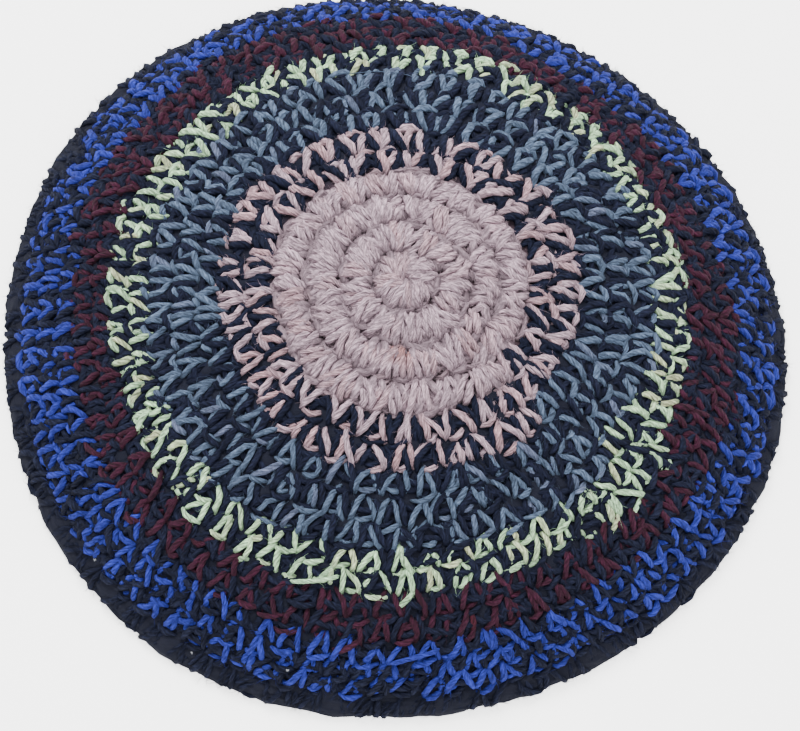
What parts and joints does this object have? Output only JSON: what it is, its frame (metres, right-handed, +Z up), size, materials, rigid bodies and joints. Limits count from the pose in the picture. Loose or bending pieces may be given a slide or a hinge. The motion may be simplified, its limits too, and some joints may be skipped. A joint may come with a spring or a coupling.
{
  "type": "crocheted kippah skullcap",
  "caption": "Round crocheted wool skullcap, a shallow dome worked in concentric rounds of coloured yarn held with navy, lying on its rope-like rim.",
  "frame": {"origin": "middle of the rim, in the plane that the rim rests on", "axes": "+Z up through the crown, -Y towards the viewer of the picture"},
  "size_m": [0.1896, 0.1896, 0.034],
  "materials": {
    "pink_wool": "matte plied wool, dusty pink, slightly fuzzy",
    "slate_wool": "matte plied wool, slate blue",
    "yellow_wool": "matte plied wool, pale yellow-green with peach stretches",
    "maroon_wool": "matte plied wool, dark maroon",
    "blue_wool": "matte plied wool, royal blue",
    "navy_wool": "matte plied wool, navy close to black"
  },
  "bodies": {
    "root": {"crown_rounds": "pink_wool", "pink_navy_rounds": "pink_wool", "slate_navy_rounds": "slate_wool", "yellow_navy_rounds": "yellow_wool", "maroon_navy_rounds": "maroon_wool", "blue_navy_rounds": "blue_wool", "edging": "navy_wool"}
  },
  "joints": []
}
